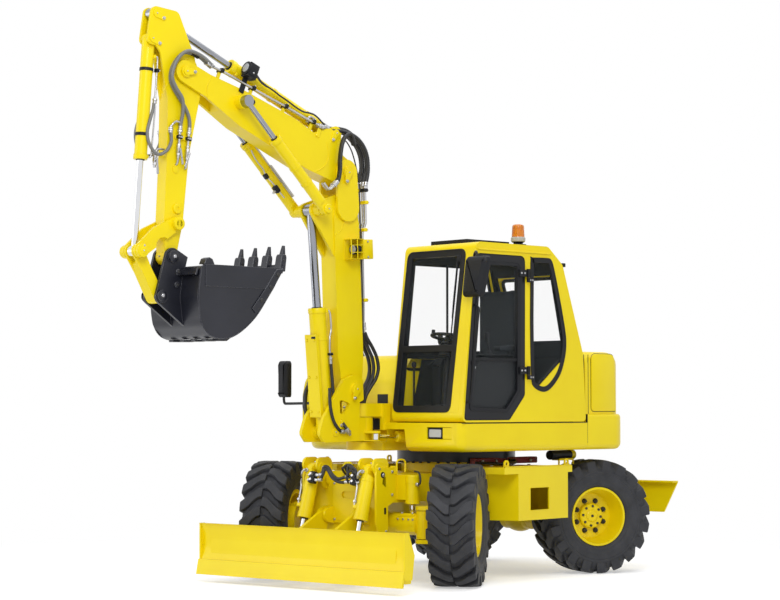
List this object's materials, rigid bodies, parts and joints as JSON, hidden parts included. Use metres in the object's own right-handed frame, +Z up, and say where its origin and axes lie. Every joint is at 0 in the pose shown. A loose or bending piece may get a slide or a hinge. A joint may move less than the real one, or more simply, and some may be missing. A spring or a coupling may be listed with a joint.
{
  "type": "wheeled excavator",
  "caption": "Wheeled excavator with two-piece boom, swing post, dozer blade, slewing cab and tail, four steered wheels; arm raised with the bucket curled.",
  "frame": {"origin": "on the ground, below the middle of the whole machine's bounding box", "axes": "+X towards the blade at the chassis's front, +Y to the machine's left, +Z up"},
  "size_m": [5.7709, 2.7934, 4.933],
  "materials": {
    "chassis_paint": "gloss",
    "yellow_paint": "gloss",
    "yellow_cover": "gloss",
    "black_paint": "satin",
    "dark_steel": "satin",
    "cast_parts": "satin",
    "rod_chrome": "polished",
    "tyre_rubber": "matte",
    "black_trim": "matte",
    "seat_cloth": "matte",
    "window": "clear",
    "amber": "gloss"
  },
  "bodies": {
    "chassis": {"chassis_frame": "chassis_paint", "side_steps": "chassis_paint", "slew_ring": "black_paint", "front_axle": "chassis_paint", "rear_axle": "chassis_paint", "drivetrain": "cast_parts", "axle_locks": "chassis_paint", "blade_tower": "chassis_paint", "rear_bumper": "chassis_paint"},
    "blade": {"blade": "chassis_paint"},
    "blade_barrels": {"blade_cylinder_barrels": "yellow_paint"},
    "blade_rods": {"blade_cylinder_rods": "rod_chrome"},
    "upper": {"deck": "yellow_paint", "counterweight": "yellow_paint", "engine_hood": "yellow_cover", "engine_block": "cast_parts", "right_housing": "yellow_cover", "cab_shell": "yellow_paint", "cab_glass": "window", "roof_hatch": "black_trim", "seat": "seat_cloth", "cab_controls": "black_trim", "mirrors": "black_trim", "beacon": "amber", "headlamp": "black_trim"},
    "door": {"door_panel": "yellow_paint", "door_glass": "window"},
    "swing_post": {"swing_post": "yellow_paint"},
    "swing_barrel": {"swing_cylinder_barrel": "yellow_paint"},
    "swing_rod": {"swing_cylinder_rod": "rod_chrome"},
    "boom_lower": {"boom_lower": "yellow_paint", "boom_lower_lamp": "black_trim"},
    "boom_upper": {"boom_upper": "yellow_paint", "boom_upper_lamp": "black_trim"},
    "arm": {"arm": "yellow_paint"},
    "rockers": {"rockers": "yellow_paint"},
    "bucket_link": {"bucket_link": "yellow_paint"},
    "bucket": {"bucket": "dark_steel", "bucket_teeth": "dark_steel"},
    "lift_barrel": {"lift_cylinder_barrel": "yellow_paint"},
    "lift_rod": {"lift_cylinder_rod": "rod_chrome"},
    "positioning_barrels": {"positioning_cylinder_barrels": "yellow_paint"},
    "positioning_rods": {"positioning_cylinder_rods": "rod_chrome"},
    "arm_barrel": {"arm_cylinder_barrel": "yellow_paint"},
    "arm_rod": {"arm_cylinder_rod": "rod_chrome"},
    "bucket_barrel": {"bucket_cylinder_barrel": "yellow_paint"},
    "bucket_rod": {"bucket_cylinder_rod": "rod_chrome"},
    "knuckle_front_left": {"knuckle_front_left": "chassis_paint"},
    "wheel_front_left": {"tyre_front_left": "tyre_rubber", "rim_front_left": "yellow_paint"},
    "knuckle_front_right": {"knuckle_front_right": "chassis_paint"},
    "wheel_front_right": {"tyre_front_right": "tyre_rubber", "rim_front_right": "yellow_paint"},
    "knuckle_rear_left": {"knuckle_rear_left": "chassis_paint"},
    "wheel_rear_left": {"tyre_rear_left": "tyre_rubber", "rim_rear_left": "yellow_paint"},
    "knuckle_rear_right": {"knuckle_rear_right": "chassis_paint"},
    "wheel_rear_right": {"tyre_rear_right": "tyre_rubber", "rim_rear_right": "yellow_paint"}
  },
  "joints": [
    {"name": "steer_front_left", "type": "hinge", "parent": "chassis", "child": "knuckle_front_left", "pos_m": [0.385, 0.667, 0.537], "axis": [0, 0, 1], "range_deg": [-54, 2]},
    {"name": "spin_front_left", "type": "hinge", "parent": "knuckle_front_left", "child": "wheel_front_left", "pos_m": [0.23471, 0.93813, 0.537], "axis": [-0.4848, 0.8746, 0], "continuous": true},
    {"name": "steer_front_right", "type": "hinge", "parent": "chassis", "child": "knuckle_front_right", "pos_m": [0.385, -0.667, 0.537], "axis": [0, 0, 1], "range_deg": [-54, 2]},
    {"name": "spin_front_right", "type": "hinge", "parent": "knuckle_front_right", "child": "wheel_front_right", "pos_m": [0.51109, -0.9502, 0.537], "axis": [-0.4067, 0.9135, 0], "continuous": true},
    {"name": "steer_rear_left", "type": "hinge", "parent": "chassis", "child": "knuckle_rear_left", "pos_m": [-1.96, 0.667, 0.537], "axis": [0, 0, 1], "range_deg": [-2, 54]},
    {"name": "spin_rear_left", "type": "hinge", "parent": "knuckle_rear_left", "child": "wheel_rear_left", "pos_m": [-1.80971, 0.93813, 0.537], "axis": [0.4848, 0.8746, 0], "continuous": true},
    {"name": "steer_rear_right", "type": "hinge", "parent": "chassis", "child": "knuckle_rear_right", "pos_m": [-1.96, -0.667, 0.537], "axis": [0, 0, 1], "range_deg": [-2, 54]},
    {"name": "spin_rear_right", "type": "hinge", "parent": "knuckle_rear_right", "child": "wheel_rear_right", "pos_m": [-2.08609, -0.9502, 0.537], "axis": [0.4067, 0.9135, 0], "continuous": true},
    {"name": "blade_lift", "type": "hinge", "parent": "chassis", "child": "blade", "pos_m": [0.705, 0, 0.61], "axis": [0, -1, 0], "range_deg": [-12, 25]},
    {"name": "blade_cylinder_barrel_pivot", "type": "hinge", "parent": "chassis", "child": "blade_barrels", "pos_m": [0.715, 0, 1.03], "axis": [0, -1, 0], "range_deg": [-5.19, 10.8]},
    {"name": "blade_cylinder_stroke", "type": "slide", "parent": "blade_barrels", "child": "blade_rods", "axis": [0.2822, 0, -0.9594], "range_m": [-0.06638, 0.03191]},
    {"name": "slew", "type": "hinge", "parent": "chassis", "child": "upper", "pos_m": [-0.935, 0, 1.166], "axis": [0, 0, 1], "continuous": true},
    {"name": "door_swing", "type": "hinge", "parent": "upper", "child": "door", "pos_m": [-0.5698, 1.11984, 1.436], "axis": [0, 0, 1], "range_deg": [0, 150]},
    {"name": "boom_swing", "type": "hinge", "parent": "upper", "child": "swing_post", "pos_m": [0.29576, -0.15112, 1.182], "axis": [0, 0, 1], "range_deg": [-60, 60]},
    {"name": "swing_barrel_pivot", "type": "hinge", "parent": "upper", "child": "swing_barrel", "pos_m": [-0.34018, 0.24937, 1.304], "axis": [0, 0, 1], "range_deg": [-2.42, 2.42]},
    {"name": "swing_stroke", "type": "slide", "parent": "swing_barrel", "child": "swing_rod", "axis": [0.9551, -0.2962, 0], "range_m": [-0.17823, 0.17823]},
    {"name": "boom_lift", "type": "hinge", "parent": "swing_post", "child": "boom_lower", "pos_m": [0.47342, -0.17293, 1.733], "axis": [-0.1219, -0.9925, 0], "range_deg": [-55, 5]},
    {"name": "lift_cylinder_barrel_pivot", "type": "hinge", "parent": "swing_post", "child": "lift_barrel", "pos_m": [0.71362, -0.20242, 1.348], "axis": [-0.1219, -0.9925, 0], "range_deg": [-47.48, 4.33]},
    {"name": "lift_cylinder_stroke", "type": "slide", "parent": "lift_barrel", "child": "lift_rod", "axis": [0.0878, -0.0108, 0.9961], "range_m": [-0.3498, 0.03189]},
    {"name": "boom_fold", "type": "hinge", "parent": "boom_lower", "child": "boom_upper", "pos_m": [0.56136, -0.18373, 3.68399], "axis": [0.1219, 0.9925, 0], "range_deg": [-40, 30]},
    {"name": "positioning_cylinder_barrel_pivot", "type": "hinge", "parent": "boom_lower", "child": "positioning_barrels", "pos_m": [0.88808, -0.22385, 3.32769], "axis": [0.1219, 0.9925, 0], "range_deg": [-37.53, 28.15]},
    {"name": "positioning_cylinder_stroke", "type": "slide", "parent": "positioning_barrels", "child": "positioning_rods", "axis": [0.7117, -0.0874, 0.697], "range_m": [-0.24384, 0.32508]},
    {"name": "arm_swing", "type": "hinge", "parent": "boom_upper", "child": "arm", "pos_m": [2.3621, -0.40483, 4.40964], "axis": [-0.1219, -0.9925, 0], "range_deg": [-18, 80]},
    {"name": "arm_cylinder_barrel_pivot", "type": "hinge", "parent": "boom_upper", "child": "arm_barrel", "pos_m": [0.66827, -0.19686, 4.03402], "axis": [-0.1219, -0.9925, 0], "range_deg": [-2.32, 10.28]},
    {"name": "arm_cylinder_stroke", "type": "slide", "parent": "arm_barrel", "child": "arm_rod", "axis": [0.9143, -0.1123, 0.3893], "range_m": [-0.63386, 0.1427]},
    {"name": "bucket_curl", "type": "hinge", "parent": "arm", "child": "bucket", "pos_m": [2.48529, -0.41996, 2.83252], "axis": [0.1219, 0.9925, 0], "range_deg": [-120, 25]},
    {"name": "rocker_pivot", "type": "hinge", "parent": "arm", "child": "rockers", "pos_m": [2.44453, -0.41495, 3.11216], "axis": [0.1219, 0.9925, 0], "range_deg": [-93.39, 19.46]},
    {"name": "link_pivot", "type": "hinge", "parent": "rockers", "child": "bucket_link", "pos_m": [2.81493, -0.46043, 2.86609], "axis": [0.1219, 0.9925, 0], "range_deg": [-10.2, 48.91]},
    {"name": "bucket_cylinder_barrel_pivot", "type": "hinge", "parent": "arm", "child": "bucket_barrel", "pos_m": [2.68115, -0.44401, 4.65863], "axis": [0.1219, 0.9925, 0], "range_deg": [-2.06, 0.44]},
    {"name": "bucket_cylinder_stroke", "type": "slide", "parent": "bucket_barrel", "child": "bucket_rod", "axis": [0.0744, -0.0091, -0.9972], "range_m": [-0.66947, 0.13955]}
  ],
  "couplings": [
    {"joint": "steer_front_right", "follows": "steer_front_left", "ratio": 1},
    {"joint": "steer_rear_right", "follows": "steer_rear_left", "ratio": 1},
    {"joint": "blade_cylinder_barrel_pivot", "follows": "blade_lift", "ratio": 0.4315},
    {"joint": "blade_cylinder_stroke", "follows": "blade_lift", "m_per_rad": -0.1519},
    {"joint": "swing_barrel_pivot", "follows": "boom_swing", "ratio": -0.0402},
    {"joint": "swing_stroke", "follows": "boom_swing", "m_per_rad": -0.1701},
    {"joint": "lift_cylinder_barrel_pivot", "follows": "boom_lift", "ratio": 0.8631},
    {"joint": "lift_cylinder_stroke", "follows": "boom_lift", "m_per_rad": 0.3643},
    {"joint": "positioning_cylinder_barrel_pivot", "follows": "boom_fold", "ratio": 0.9379},
    {"joint": "positioning_cylinder_stroke", "follows": "boom_fold", "m_per_rad": -0.4655},
    {"joint": "arm_cylinder_barrel_pivot", "follows": "arm_swing", "ratio": 0.1284},
    {"joint": "arm_cylinder_stroke", "follows": "arm_swing", "m_per_rad": -0.4539},
    {"joint": "rocker_pivot", "follows": "bucket_curl", "ratio": 0.7782},
    {"joint": "link_pivot", "follows": "bucket_curl", "ratio": -0.4075},
    {"joint": "bucket_cylinder_barrel_pivot", "follows": "bucket_curl", "ratio": 0.0171},
    {"joint": "bucket_cylinder_stroke", "follows": "bucket_curl", "m_per_rad": 0.3196}
  ]
}
